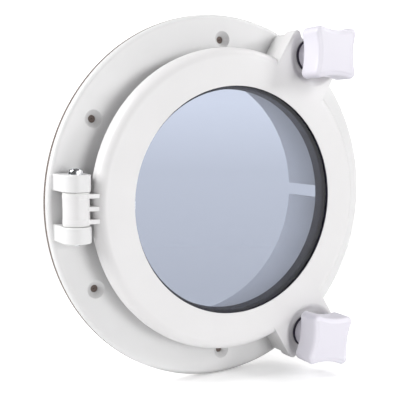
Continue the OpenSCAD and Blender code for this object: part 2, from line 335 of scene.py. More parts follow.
class Nodes:
    """Adds nodes to a tree by name, so that a material reads as a list of steps."""

    def __init__(self, tree: bpy.types.NodeTree) -> None:
        """Works on a tree."""
        self.tree = tree

    def add(self, kind: str, inputs: dict | None = None, **settings) -> bpy.types.Node:
        """Adds a node.

        Args:
            kind: the node's type, without its ShaderNode prefix.
            inputs: values or sockets for its inputs, by name or number.
            settings: the node's own settings.

        Returns:
            The new node.
        """
        prefix = "" if kind.startswith("Node") else "ShaderNode"
        node = self.tree.nodes.new(prefix + kind)
        for key, value in settings.items():
            setattr(node, key, value)
        for key, value in (inputs or {}).items():
            if isinstance(value, bpy.types.NodeSocket):
                self.tree.links.new(value, node.inputs[key])
            else:
                node.inputs[key].default_value = value
        return node

    def math(self, operation: str, *values) -> bpy.types.NodeSocket:
        """Adds a Math node on numbers or sockets and returns its output."""
        node = self.add("Math", dict(enumerate(values)), operation=operation)
        return node.outputs[0]

    def noise(self, scale: float | bpy.types.NodeSocket, detail: float) -> bpy.types.NodeSocket:
        """Adds three-dimensional noise on Object coordinates and returns its value."""
        place = self.add("TexCoord").outputs["Object"]
        node = self.add("TexNoise", {"Vector": place, "Scale": scale, "Detail": detail})
        return node.outputs["Fac"]

    def spread(self, value: bpy.types.NodeSocket, low, high) -> bpy.types.NodeSocket:
        """Maps noise from its usual 0.3 to 0.7 onto a range of values and returns it."""
        node = self.add(
            "MapRange",
            {"Value": value, "From Min": 0.3, "From Max": 0.7, "To Min": low, "To Max": high},
        )
        return node.outputs[0]


def new_group(name: str, inputs: dict[str, float | Colour], outputs: dict[str, str]) -> tuple:
    """Starts a shader node group.

    Args:
        name: name of the group.
        inputs: each input's default; a number makes a value socket and a triple a colour socket.
        outputs: each output's socket type.

    Returns:
        The group's tree as Nodes, its input node and its output node.
    """
    tree = bpy.data.node_groups.new(name, "ShaderNodeTree")
    for label, default in inputs.items():
        is_colour = isinstance(default, tuple)
        kind = "NodeSocketColor" if is_colour else "NodeSocketFloat"
        socket = tree.interface.new_socket(name=label, in_out="INPUT", socket_type=kind)
        socket.default_value = (*default, 1.0) if is_colour else default
    for label, kind in outputs.items():
        tree.interface.new_socket(name=label, in_out="OUTPUT", socket_type=kind)
    nodes = Nodes(tree)
    return nodes, nodes.add("NodeGroupInput"), nodes.add("NodeGroupOutput")


def grain_group() -> bpy.types.NodeTree:
    """Makes the group for a moulded or rolled skin: faint mottling, uneven gloss and fine grain.

    Returns:
        The group, with outputs Colour, Roughness and Height.
    """
    nodes, given, result = new_group(
        "skin_grain",
        {
            "Colour": (0.8, 0.8, 0.8),
            "Mottle": 0.02,
            "Patch Scale": 30.0,
            "Roughness": 0.4,
            "Gloss Spread": 0.05,
            "Grain Scale": 900.0,
        },
        {"Colour": "NodeSocketColor", "Roughness": "NodeSocketFloat", "Height": "NodeSocketFloat"},
    )
    patches = nodes.noise(given.outputs["Patch Scale"], 3.0)
    fine = nodes.noise(given.outputs["Grain Scale"], 2.0)
    darker = nodes.math("SUBTRACT", 1.0, given.outputs["Mottle"])
    lighter = nodes.math("ADD", 1.0, given.outputs["Mottle"])
    level = nodes.spread(patches, darker, lighter)
    shaded = nodes.add("VectorMath", {0: given.outputs["Colour"], "Scale": level}, operation="SCALE")
    nodes.tree.links.new(shaded.outputs[0], result.inputs["Colour"])
    low = nodes.math("SUBTRACT", given.outputs["Roughness"], given.outputs["Gloss Spread"])
    high = nodes.math("ADD", given.outputs["Roughness"], given.outputs["Gloss Spread"])
    gloss = nodes.spread(nodes.noise(140.0, 4.0), low, high)
    nodes.tree.links.new(gloss, result.inputs["Roughness"])
    nodes.tree.links.new(fine, result.inputs["Height"])
    return nodes.tree


def edge_group() -> bpy.types.NodeTree:
    """Makes the group that finds edges, where handling polishes or wears a surface.

    Returns:
        The group, with output Mask: 1 on an edge and 0 on a flat.
    """
    nodes, given, result = new_group("worn_edges", {"Width": 0.5, "Breakup": 0.5}, {"Mask": "NodeSocketFloat"})
    width = nodes.math("MULTIPLY", given.outputs["Width"], MM)
    rounded_normal = nodes.add("Bevel", {"Radius": width}, samples=4).outputs[0]
    true_normal = nodes.add("NewGeometry").outputs["Normal"]
    facing = nodes.add("VectorMath", {0: rounded_normal, 1: true_normal}, operation="DOT_PRODUCT")
    turned = nodes.math("SUBTRACT", 1.0, facing.outputs["Value"])
    raised = nodes.math("MULTIPLY", turned, 7.0)
    patchy = nodes.spread(nodes.noise(260.0, 3.0), nodes.math("SUBTRACT", 1.0, given.outputs["Breakup"]), 1.0)
    mask = nodes.add("Clamp", {"Value": nodes.math("MULTIPLY", raised, patchy)})
    nodes.tree.links.new(mask.outputs[0], result.inputs["Mask"])
    return nodes.tree


def pore_group() -> bpy.types.NodeTree:
    """Makes the group for cells and pores, in foam and on the face of rubber.

    Returns:
        The group, with outputs Pores, 1 inside a pore, and Height.
    """
    nodes, given, result = new_group(
        "pores",
        {"Scale": 1500.0, "Size": 0.35},
        {"Pores": "NodeSocketFloat", "Height": "NodeSocketFloat"},
    )
    place = nodes.add("TexCoord").outputs["Object"]
    cells = nodes.add("TexVoronoi", {"Vector": place, "Scale": given.outputs["Scale"]})
    open_cell = nodes.add(
        "MapRange",
        {"Value": cells.outputs["Distance"], "From Min": 0.0, "From Max": given.outputs["Size"],
         "To Min": 1.0, "To Max": 0.0},
    ).outputs[0]
    nodes.tree.links.new(open_cell, result.inputs["Pores"])
    nodes.tree.links.new(nodes.math("SUBTRACT", 1.0, open_cell), result.inputs["Height"])
    return nodes.tree


@dataclass(frozen=True)
class SharedGroups:
    """The node groups that the finishes share."""

    grain: bpy.types.NodeTree
    edges: bpy.types.NodeTree
    pores: bpy.types.NodeTree

    @classmethod
    def make(cls) -> "SharedGroups":
        """Builds each group once."""
        return cls(grain_group(), edge_group(), pore_group())


# Finishes


def new_material(name: str) -> tuple[Nodes, bpy.types.Node, bpy.types.Material]:
    """Starts a material.

    Args:
        name: name of the material.

    Returns:
        Its tree as Nodes, its Principled BSDF node, and the material.
    """
    material = bpy.data.materials.new(name)
    material.use_nodes = True
    return Nodes(material.node_tree), material.node_tree.nodes["Principled BSDF"], material


@dataclass(frozen=True)
class MouldedPlastic:
    """Injection-moulded plastic: fine satin grain, polished edges, and painted shade that darkens it in its
    crevices.
    """

    name: str
    colour: Colour
    roughness: float = 0.36
    grain_scale: float = 1100.0
    grain_depth: float = 0.018
    patch_scale: float = 22.0
    mottle: float = 0.012
    gloss_spread: float = 0.05
    edge_width: float = 0.6
    # The next two fields set the painted shade: how much it darkens the colour in crevices, and how far, in
    # mm, it looks for nearby surfaces.
    crevice_shade: float = 0.0
    crevice_shade_reach: float = 24.0
    rubbed_share: float = 0.35
    edge_polish: float = 0.10

    def build(self, groups: SharedGroups) -> bpy.types.Material:
        """Builds the material from the shared groups."""
        nodes, skin, material = new_material(self.name)
        grain = nodes.add(
            "Group",
            {
                "Colour": (*self.colour, 1.0),
                "Mottle": self.mottle,
                "Patch Scale": self.patch_scale,
                "Roughness": self.roughness,
                "Gloss Spread": self.gloss_spread,
                "Grain Scale": self.grain_scale,
            },
            node_tree=groups.grain,
        )
        edges = nodes.add("Group", {"Width": self.edge_width, "Breakup": 0.6}, node_tree=groups.edges)
        # Painted shade: ambient occlusion darkens the colour where other surfaces are near. It stands in for
        # the shade under the lid and in the gutter; it is not dirt.
        openness = nodes.add("AmbientOcclusion", {"Distance": self.crevice_shade_reach * MM}, samples=8).outputs["AO"]
        painted_shade_level = nodes.add(
            "MapRange",
            {"Value": openness, "From Min": 0.2, "From Max": 0.75, "To Min": 1 - self.crevice_shade, "To Max": 1.0},
        ).outputs[0]
        painted_shade_colour = nodes.add("VectorMath", {0: grain.outputs["Colour"], "Scale": painted_shade_level}, operation="SCALE")
        rubbed = nodes.math("MULTIPLY", edges.outputs["Mask"], self.rubbed_share)
        brighter = nodes.add(
            "Mix",
            {"Factor": rubbed, 6: painted_shade_colour.outputs[0], 7: (0.93, 0.93, 0.93, 1.0)},
            data_type="RGBA",
        )
        polish = nodes.math("MULTIPLY", edges.outputs["Mask"], self.edge_polish)
        roughness = nodes.math("SUBTRACT", grain.outputs["Roughness"], polish)
        bump = nodes.add(
            "Bump",
            {"Strength": 0.35, "Distance": self.grain_depth * MM, "Height": grain.outputs["Height"]},
        )
        nodes.tree.links.new(brighter.outputs[2], skin.inputs["Base Color"])
        nodes.tree.links.new(roughness, skin.inputs["Roughness"])
        nodes.tree.links.new(bump.outputs[0], skin.inputs["Normal"])
        skin.inputs["IOR"].default_value = 1.53
        return material


@dataclass(frozen=True)
class Rubber:
    """Rubber or foam: dull, slightly porous, with a bloom where it has been handled."""

    name: str
    colour: Colour
    bloom: Colour
    roughness: float
    pore_scale: float
    pore_size: float
    pore_depth: float

    def build(self, groups: SharedGroups) -> bpy.types.Material:
        """Builds the material from the shared groups."""
        nodes, skin, material = new_material(self.name)
        grain = nodes.add(
            "Group",
            {
                "Colour": (*self.colour, 1.0),
                "Mottle": 0.12,
                "Patch Scale": 60.0,
                "Roughness": self.roughness,
                "Gloss Spread": 0.08,
                "Grain Scale": 1400.0,
            },
            node_tree=groups.grain,
        )
        pores = nodes.add("Group", {"Scale": self.pore_scale, "Size": self.pore_size}, node_tree=groups.pores)
        edges = nodes.add("Group", {"Width": 0.3, "Breakup": 0.8}, node_tree=groups.edges)
        bloomed = nodes.add(
            "Mix",
            {"Factor": nodes.math("MULTIPLY", edges.outputs["Mask"], 0.4),
             6: grain.outputs["Colour"], 7: (*self.bloom, 1.0)},
            data_type="RGBA",
        )
        darkened = nodes.add(
            "Mix",
            {"Factor": nodes.math("MULTIPLY", pores.outputs["Pores"], 0.5),
             6: bloomed.outputs[2], 7: (*[c * 0.4 for c in self.colour], 1.0)},
            data_type="RGBA",
        )
        fine = nodes.math("MULTIPLY", grain.outputs["Height"], 0.3)
        height = nodes.math("ADD", pores.outputs["Height"], fine)
        bump = nodes.add("Bump", {"Strength": 0.5, "Distance": self.pore_depth * MM, "Height": height})
        nodes.tree.links.new(darkened.outputs[2], skin.inputs["Base Color"])
        nodes.tree.links.new(grain.outputs["Roughness"], skin.inputs["Roughness"])
        nodes.tree.links.new(bump.outputs[0], skin.inputs["Normal"])
        skin.inputs["Specular IOR Level"].default_value = 0.35
        return material


@dataclass(frozen=True)
class TintedGlass:
    """Toughened glass, tinted through, with the faint ripple of its rollers and a few wipe marks."""

    name: str
    tint: Colour
    ripple: float = 0.004

    def build(self, groups: SharedGroups) -> bpy.types.Material:
        """Builds the material from the shared groups."""
        nodes, skin, material = new_material(self.name)
        grain = nodes.add(
            "Group",
            {
                "Colour": (*self.tint, 1.0),
                "Mottle": 0.006,
                "Patch Scale": 9.0,
                "Roughness": 0.008,
                "Gloss Spread": 0.006,
                "Grain Scale": 26.0,
            },
            node_tree=groups.grain,
        )
        bump = nodes.add(
            "Bump", {"Strength": 0.2, "Distance": self.ripple * MM, "Height": grain.outputs["Height"]}
        )
        nodes.tree.links.new(grain.outputs["Colour"], skin.inputs["Base Color"])
        nodes.tree.links.new(grain.outputs["Roughness"], skin.inputs["Roughness"])
        nodes.tree.links.new(bump.outputs[0], skin.inputs["Normal"])
        skin.inputs["Transmission Weight"].default_value = 1.0
        skin.inputs["IOR"].default_value = 1.5
        return material


@dataclass(frozen=True)
class Metal:
    """Bare metal with fine turning marks, uneven gloss and bright edges."""

    name: str
    colour: Colour
    bright: Colour
    roughness: float
    mark_scale: float = 2500.0

    def build(self, groups: SharedGroups) -> bpy.types.Material:
        """Builds the material from the shared groups."""
        nodes, skin, material = new_material(self.name)
        grain = nodes.add(
            "Group",
            {
                "Colour": (*self.colour, 1.0),
                "Mottle": 0.05,
                "Patch Scale": 180.0,
                "Roughness": self.roughness,
                "Gloss Spread": self.roughness * 0.35,
                "Grain Scale": self.mark_scale,
            },
            node_tree=groups.grain,
        )
        edges = nodes.add("Group", {"Width": 0.25, "Breakup": 0.3}, node_tree=groups.edges)
        worn = nodes.add(
            "Mix",
            {"Factor": edges.outputs["Mask"], 6: grain.outputs["Colour"], 7: (*self.bright, 1.0)},
            data_type="RGBA",
        )
        bump = nodes.add(
            "Bump", {"Strength": 0.25, "Distance": 0.004 * MM, "Height": grain.outputs["Height"]}
        )
        nodes.tree.links.new(worn.outputs[2], skin.inputs["Base Color"])
        nodes.tree.links.new(grain.outputs["Roughness"], skin.inputs["Roughness"])
        nodes.tree.links.new(bump.outputs[0], skin.inputs["Normal"])
        skin.inputs["Metallic"].default_value = 1.0
        return material


class Finishes:
    """Every finish of the window, built once and handed out by material slot."""

    RECIPES = {
        # The frame and lid plastics carry painted shade near their crevices, the frame's the strongest.
        "frame_plastic": MouldedPlastic("frame_white", (0.75, 0.747, 0.75), roughness=0.42, crevice_shade=0.26),
        "lid_plastic": MouldedPlastic("lid_white", (0.752, 0.743, 0.747), roughness=0.42, crevice_shade=0.06),
        "knob_plastic": MouldedPlastic(
            "knob_white", (0.745, 0.725, 0.795), roughness=0.38, grain_depth=0.003, mottle=0.004,
            gloss_spread=0.02, edge_width=0.8,
        ),
        "bush_plastic": MouldedPlastic("bush_natural", (0.80, 0.80, 0.79), roughness=0.42, edge_width=0.2),
        "wall_gasket": Rubber(
            "gasket_foam", (0.17, 0.135, 0.12), bloom=(0.26, 0.22, 0.20),
            roughness=0.88, pore_scale=1300.0, pore_size=0.45, pore_depth=0.10,
        ),
        "black_rubber": Rubber(
            "seal_rubber", (0.050, 0.042, 0.066), bloom=(0.075, 0.068, 0.090),
            roughness=0.5, pore_scale=2600.0, pore_size=0.2, pore_depth=0.02,
        ),
        "glass": TintedGlass("pane_tint", (0.415, 0.455, 0.555)),
        "steel": Metal("screw_steel", (0.66, 0.67, 0.69), (0.90, 0.90, 0.92), 0.16),
        "brass": Metal("insert_brass", (0.68, 0.50, 0.22), (0.88, 0.72, 0.42), 0.30),
    }

    def __init__(self) -> None:
        """Builds every finish from one set of shared groups."""
        groups = SharedGroups.make()
        self.materials = {slot: recipe.build(groups) for slot, recipe in self.RECIPES.items()}

    def dress(self, piece: bpy.types.Object, node: str) -> None:
        """Gives a finished piece its finish and puts it in a node's place.

        Args:
            piece: the finished piece.
            node: the node that it stands for, whose body and material slot it takes.
        """
        record = frame["record"]
        slot = next(s["material_slot"] for s in record["subparts"] if s["node"] == node)
        body = next(b for b, members in record["behaviour"]["bodies"].items() if node in members)
        piece.data.materials.clear()
        piece.data.materials.append(self.materials[slot])
        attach(piece, body)
        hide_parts(node)
        log.info("%s: %d faces, on %s, in %s", piece.name, len(piece.data.polygons), body, slot)


# Layout, read from the frame


def heights(node: str) -> tuple[float, float]:
    """Lowest and highest height of a node above the wall."""
    low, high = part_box(node)
    return -high.y, -low.y


def middle(node: str) -> Vector:
    """Centre of a node's box."""
    low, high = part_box(node)
    return (low + high) / 2


def half_width(node: str) -> float:
    """Half of a node's extent along X, which is a turned node's radius."""
    low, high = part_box(node)
    return (high.x - low.x) / 2


def mount_size(name: str, key: str) -> float:
    """A size that the record states for a mount, in metres, or a count."""
    mount = next(m for m in frame["record"]["mounts"] if m["name"] == name)
    value = mount["dims"][key]
    return value if key == "count" else value * MM


def screw_centres() -> list[Vector]:
    """Centres of the screw holes on the wall's surface, evenly spaced on their circle."""
    count = int(mount_size("screw_holes", "count"))
    circle_r = mount_size("screw_holes", "pcd_mm") / 2
    angles = [math.tau * (i + 0.5) / count for i in range(count)]
    return [Vector((circle_r * math.cos(a), 0.0, circle_r * math.sin(a))) for a in angles]


@dataclass(frozen=True)
class Layout:
    """Where the window's main lines lie, all read from the frame."""

    hinge: Vector
    knob_upper: Vector
    knob_lower: Vector
    lid_back: float
    lid_front: float
    glass_r: float
    opening_r: float
    pocket_r: float
    seal_groove_r: float

    @classmethod
    def read(cls) -> "Layout":
        """Reads the lines from the nodes' boxes."""
        return cls(
            hinge=middle("hinge_screw"),
            knob_upper=middle("washer_upper"),
            knob_lower=middle("washer_lower"),
            lid_back=heights("lid_seal")[1] - SEAL_GROOVE_DEPTH,
            lid_front=heights("glazing_seal")[1] + LIP,
            glass_r=half_width("glass_pane"),
            opening_r=half_width("glass_pane") - GLASS_OVERLAP,
            pocket_r=half_width("glazing_seal"),
            seal_groove_r=half_width("lid_seal"),
        )

    def knob(self, side: Side) -> Vector:
        """A point of one knob's axis."""
        return self.knob_upper if side is Side.UPPER else self.knob_lower

    def knob_angle(self, side: Side) -> float:
        """Angle of one knob above the horizontal centre line, in radians."""
        knob = self.knob(side)
        return math.atan2(knob.z, knob.x)


def on_radius(layout: Layout, side: Side, along: float, across: float, height: float) -> Vector:
    """A point given along and across the radius that runs through a knob."""
    angle = layout.knob_angle(side)
    x = along * math.cos(angle) - across * math.sin(angle)
    z = along * math.sin(angle) + across * math.cos(angle)
    return Vector((x, -height, z))


@dataclass(frozen=True)
class Tab:
    """A flat tab on a knob's radius, with two round corners at its end."""

    half_width: float
    end_r: float
    corner_r: float
    root_r: float
    edge_round: float

    def build(self, name: str, layout: Layout, side: Side, low: float, high: float) -> bpy.types.Object:
        """Models the tab.

        Args:
            name: name of the solid.
            layout: the window's main lines.
            side: which knob it belongs to.
            low: height of its back.
            high: height of its front.

        Returns:
            The solid, with its long edges rounded.
        """
        reach = self.end_r - self.corner_r
        spread = self.half_width - self.corner_r
        outline = arc((reach, -spread), self.corner_r, -90, 0, 8)
        outline += arc((reach, spread), self.corner_r, 0, 90, 8)
        half_sweep = math.degrees(math.asin(self.half_width / self.root_r))
        outline += arc((0.0, 0.0), self.root_r, half_sweep, -half_sweep, 12)
        points = [on_radius(layout, side, along, across, low) for along, across in outline]
        tab = extrude(name, points, Vector((0.0, low - high, 0.0)))
        bevel(tab, lambda a, b: abs(a.y - b.y) < TINY and a.y < -high + TINY, self.edge_round, 4)
        return tab


# Sub-assemblies


@dataclass(frozen=True)
class FrameMoulding:
    """The moulding that is fixed to the wall: flange, coaming, spigot, hinge ears and pedestals."""

    layout: Layout
    flange_front: float = 7.7 * MM
    flange_round: float = 3.6 * MM
    coaming_top: float = 19.0 * MM
    spigot_wall: float = 4.5 * MM
    root_fillet: float = 2.5 * MM
    pedestal_top: float = 20.5 * MM
    recess_r: float = 5.5 * MM
    recess_floor: float = 15.5 * MM
    insert_floor: float = 5.5 * MM
    countersink_r: float = 6.5 * MM
    ear_r: float = 10.0 * MM
    ear_flare: float = 1.6 * MM
    hinge_bore_r: float = 2.6 * MM
    seal_room: float = 0.6 * MM
    seal_room_inner_r: float = 90.0 * MM
    drain_w: float = 10.6 * MM
    drain_round: float = 1.5 * MM
    drain_from: float = 95.0 * MM
    drain_reach: float = 15.0 * MM

    def _ring(self) -> bpy.types.Object:
        """Turns the flange, the coaming and the spigot as one."""
        _, gasket_front = heights("wall_gasket")
        spigot_r = mount_size("spigot", "r_mm")
        inner_r = spigot_r - self.spigot_wall
        flange_r = half_width("base_frame")
        depth = -heights("base_frame")[0]
        section = rounded(
            [
                (inner_r, -depth, 0.6 * MM),
                (spigot_r, -depth, 1.2 * MM),
                (spigot_r, gasket_front, 0.0),
                (flange_r, gasket_front, 0.3 * MM),
                (flange_r, self.flange_front, self.flange_round),
                (spigot_r, self.flange_front, self.root_fillet),
                (spigot_r, self.coaming_top, 0.8 * MM),
                (inner_r, self.coaming_top, 0.8 * MM),
            ]
        )
        return turn("frame_moulding", section)

    def _pedestals(self) -> bpy.types.Object:
        """Models the two pedestals that the lid's tabs close on."""
        shape = Tab(
            half_width=25.2 * MM, end_r=137.0 * MM, corner_r=6.0 * MM, root_r=102.3 * MM, edge_round=0.7 * MM
        )
        low = heights("wall_gasket")[1] + MM
        pair = [shape.build("pedestal", self.layout, side, low, self.pedestal_top) for side in Side]
        pedestals = gather(pair)
        seal_room_r = mount_size("spigot", "r_mm") + self.seal_room
        room = [
            (self.seal_room_inner_r, self.coaming_top - 0.4 * MM),
            (seal_room_r, self.coaming_top - 0.4 * MM),
            (seal_room_r, self.pedestal_top + MM),
            (self.seal_room_inner_r, self.pedestal_top + MM),
        ]
        combine(pedestals, turn("seal_room", room), Joining.CUT)
        return pedestals

    def _ear(self, side: Side) -> bpy.types.Object:
        """Models one hinge ear: a round eye on a foot that flares out at the flange."""
        hinge = self.layout.hinge
        low = heights("wall_gasket")[1] + MM
        flare_top = self.flange_front + self.ear_flare
        foot = self.ear_r + self.ear_flare
        flare = arc((foot, flare_top), self.ear_flare, 270, 180, 4)
        half = [(foot, low), *flare]
        outline = half + arc((0.0, -hinge.y), self.ear_r, 0, 180, 32) + [(-x, h) for x, h in reversed(half)]
        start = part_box("hinge_bush_top")[1].z + 0.3 * MM
        end = -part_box("hinge_insert")[0].z
        z0 = start * side.value
        points = [Vector((hinge.x + x, -h, z0)) for x, h in outline]
        ear = extrude("ear", points, Vector((0.0, 0.0, (end - start) * side.value)))
        bevel(ear, lambda a, b: abs(a.z - b.z) < TINY, 0.8 * MM, 4)
        return ear

    def _holes(self) -> bpy.types.Object:
        """Models everything that is cut away: screw holes, knob recesses, the hinge bore and the slot."""
        hole_r = mount_size("screw_holes", "hole_r_mm")
        sink_floor = self.flange_front - (self.countersink_r - hole_r)
        screw = [
            (0.0, 0.0),
            (hole_r, 0.0),
            (hole_r, sink_floor),
            (self.countersink_r, self.flange_front),
            (self.countersink_r + 0.25 * MM, self.flange_front + 0.25 * MM),
            (self.countersink_r + 0.25 * MM, self.flange_front + 2 * MM),
            (0.0, self.flange_front + 2 * MM),
        ]
        tools = [turn("screw_hole", screw, centre=at, steps=FINE_TURN_STEPS) for at in screw_centres()]
        insert_r = half_width("insert_upper")
        recess = [
            (0.0, self.insert_floor),
            (insert_r, self.insert_floor),
            (insert_r, self.recess_floor),
            (self.recess_r, self.recess_floor),
            (self.recess_r, self.pedestal_top - 0.5 * MM),
            (self.recess_r + 0.5 * MM, self.pedestal_top),
            (self.recess_r + 0.5 * MM, self.pedestal_top + MM),
            (0.0, self.pedestal_top + MM),
        ]
        for side in Side:
            knob = self.layout.knob(side)
            tools.append(turn("knob_recess", recess, centre=knob, steps=FINE_TURN_STEPS))
        low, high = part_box("hinge_insert")
        reach = -low.z + MM
        insert_r, bore_r = (high.x - low.x) / 2, self.hinge_bore_r
        bore = [(0.0, -reach), (insert_r, -reach), (insert_r, high.z), (bore_r, high.z)]
        bore += [(bore_r, reach), (0.0, reach)]
        tools.append(turn("hinge_bore", bore, Axis.UP, self.layout.hinge, FINE_TURN_STEPS))
        tools.append(self._drain_slot())
        return gather(tools)

    def _drain_slot(self) -> bpy.types.Object:
        """Models the slot that lets rain out of the spigot, rounded where it ends at the wall."""
        depth = -heights("base_frame")[0]
        half = self.drain_w / 2
        near = [(-half, 0.0, self.drain_round), (half, 0.0, self.drain_round)]
        far = [(half, depth + MM, 0.0), (-half, depth + MM, 0.0)]
        points = [Vector((self.drain_from, y, z)) for z, y in rounded(near + far)]
        return extrude("drain_slot", points, Vector((self.drain_reach, 0.0, 0.0)))

    def build(self, finishes: Finishes) -> None:
        """Models the moulding and dresses it."""
        piece = self._ring()
        extras = gather([self._pedestals(), *[self._ear(side) for side in Side]])
        combine(piece, extras, Joining.ADD)
        combine(piece, self._holes(), Joining.CUT)
        close_up(piece)
        smooth(piece)
        finishes.dress(piece, "base_frame")


@dataclass(frozen=True)
class WallGasket:
    """The foam gasket between the flange and the wall."""

    pierced_r: float = 0.6 * MM
    gap: float = 1.5 * MM
    edge: float = 0.4 * MM

    def build(self, finishes: Finishes) -> None:
        """Models the gasket, pierced where the six screws go through, and dresses it."""
        outer = half_width("wall_gasket")
        inner = mount_size("spigot", "r_mm") + self.gap
        back, front = heights("wall_gasket")
        outline = [(inner, back), (outer, back), (outer, front), (inner, front)]
        gasket = turn("foam_gasket", rounded([(r, h, self.edge) for r, h in outline]))
        hole = [(0.0, back - MM), (self.pierced_r, back - MM), (self.pierced_r, front + MM), (0.0, front + MM)]
        steps = FINE_TURN_STEPS // 2
        tools = [turn("gasket_hole", hole, centre=at, steps=steps) for at in screw_centres()]
        combine(gasket, gather(tools), Joining.CUT)
        close_up(gasket)
        smooth(gasket)
        finishes.dress(gasket, "wall_gasket")


@dataclass(frozen=True)
class LidMoulding:
    """The lid's ring with its hinge barrel, ribs and two dished tabs."""

    layout: Layout
    ring_r: float = 113.5 * MM
    outer_round: float = 8.0 * MM
    seat: float = 26.5 * MM
    seat_r: float = 14.6 * MM
    dish_r: float = 24.4 * MM
    dish_over: float = 0.06 * MM
    hole_r: float = 3.5 * MM
    clip_room_r: float = 5.5 * MM
    clip_room_depth: float = 1.5 * MM
    barrel_r: float = 9.3 * MM
    waist_r: float = 9.12 * MM
    rib_half: float = 1.6 * MM
    groove_w: float = 5.0 * MM
    bore_r: float = 4.02 * MM
    bore_reach: float = 15.0 * MM

    def _ring(self) -> bpy.types.Object:
        """Turns the ring, soft at its outer edge, with a thin lip and a pocket for the glass."""
        line = self.layout
        section = rounded(
            [
                (line.pocket_r, line.lid_back, 0.3 * MM),
                (self.ring_r, line.lid_back, 0.6 * MM),
                (self.ring_r, line.lid_front, self.outer_round),
                (line.opening_r, line.lid_front, 0.3 * MM),
                (line.opening_r, line.lid_front - LIP, 0.1 * MM),
                (line.pocket_r, line.lid_front - LIP, 0.0),
            ]
        )
        return turn("lid_moulding", section)

    def _barrel(self) -> bpy.types.Object:
        """Models the hinge barrel, with a collar at each end, and its three ribs."""
        hinge = self.layout.hinge
        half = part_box("hinge_bush_top")[1].z - MM
        collar = 2 * self.rib_half
        step = self.barrel_r - self.waist_r
        side = [
            (self.barrel_r, half, 0.35 * MM),
            (self.barrel_r, half - collar, 0.0),
            (self.waist_r, half - collar - step, 0.0),
        ]
        mirrored = [(r, -z, radius) for r, z, radius in reversed(side)]
        section = rounded([(0.0, half, 0.0), *side, *mirrored, (0.0, -half, 0.0)], closed=False)
        barrel = turn("barrel", section, Axis.UP, hinge, FINE_TURN_STEPS)
        centre_z = half - self.rib_half - 0.03 * MM
        combine(barrel, gather([self._rib(z) for z in (-centre_z, 0.0, centre_z)]), Joining.ADD)
        return barrel

    def _rib(self, z: float) -> bpy.types.Object:
        """Models one flat rib between the barrel and the ring, centred at a height along the hinge."""
        hinge = self.layout.hinge
        low, high = self.layout.lid_back + 0.6 * MM, -hinge.y + 6.6 * MM
        end_x = -self.ring_r + 5 * MM
        outline = [(hinge.x, low), (end_x, low), (end_x, high), (hinge.x, high)]
        points = [Vector((x, -h, z - self.rib_half)) for x, h in outline]
        rib = extrude("rib", points, Vector((0.0, 0.0, 2 * self.rib_half)))
        bevel(rib, lambda a, b: abs(a.z - b.z) < TINY and abs(a.y - b.y) < TINY, 0.45 * MM, 3)
        return rib

    def _lug_cut(self, side: Side) -> bpy.types.Object:
        """Models what is cut away at one knob: the dish, the stud's hole and the room for its clip."""
        line = self.layout
        rise = line.lid_front - self.seat + self.dish_over
        steps = 22
        slope = []
        for i in range(steps + 1):
            share = i / steps
            height = self.seat + rise * (1 - math.cos(math.pi * share)) / 2
            slope.append((self.seat_r + (self.dish_r - self.seat_r) * share, height))
        over = line.lid_front + 2 * MM
        section = [
            (0.0, line.lid_back - MM),
            (self.clip_room_r, line.lid_back - MM),
            (self.clip_room_r, line.lid_back + self.clip_room_depth),
            (self.hole_r, line.lid_back + self.clip_room_depth),
            (self.hole_r, self.seat - 0.4 * MM),
            (self.hole_r + 0.4 * MM, self.seat),
            *slope,
            (self.dish_r, over),
            (0.0, over),
        ]
        return turn("lug_cut", section, centre=line.knob(side), steps=144)

    def _groove(self) -> bpy.types.Object:
        """Models the groove for the seal in the lid's back."""
        line = self.layout
        outer = line.seal_groove_r
        inner = outer - self.groove_w
        floor = heights("lid_seal")[1]
        low = line.lid_back - MM
        return turn("groove", [(inner, low), (outer, low), (outer, floor), (inner, floor)])

    def _bore(self) -> bpy.types.Object:
        """Models the barrel's bore for its two bushes."""
        r, reach = self.bore_r, self.bore_reach
        section = [(0.0, -reach), (r, -reach), (r, reach), (0.0, reach)]
        return turn("bore", section, Axis.UP, self.layout.hinge, FINE_TURN_STEPS)

    def build(self, finishes: Finishes) -> None:
        """Models the moulding and dresses it."""
        line = self.layout
        piece = self._ring()
        shape = Tab(
            half_width=25.7 * MM, end_r=137.6 * MM, corner_r=4.0 * MM, root_r=97.0 * MM, edge_round=0.55 * MM
        )
        back = line.lid_back + 0.2 * MM
        tabs = [shape.build("tab", line, side, back, line.lid_front) for side in Side]
        combine(piece, gather([*tabs, self._barrel()]), Joining.ADD)
        cuts = [self._lug_cut(side) for side in Side]
        combine(piece, gather([*cuts, self._groove(), self._bore()]), Joining.CUT)
        close_up(piece)
        smooth(piece)
        finishes.dress(piece, "lid_ring")


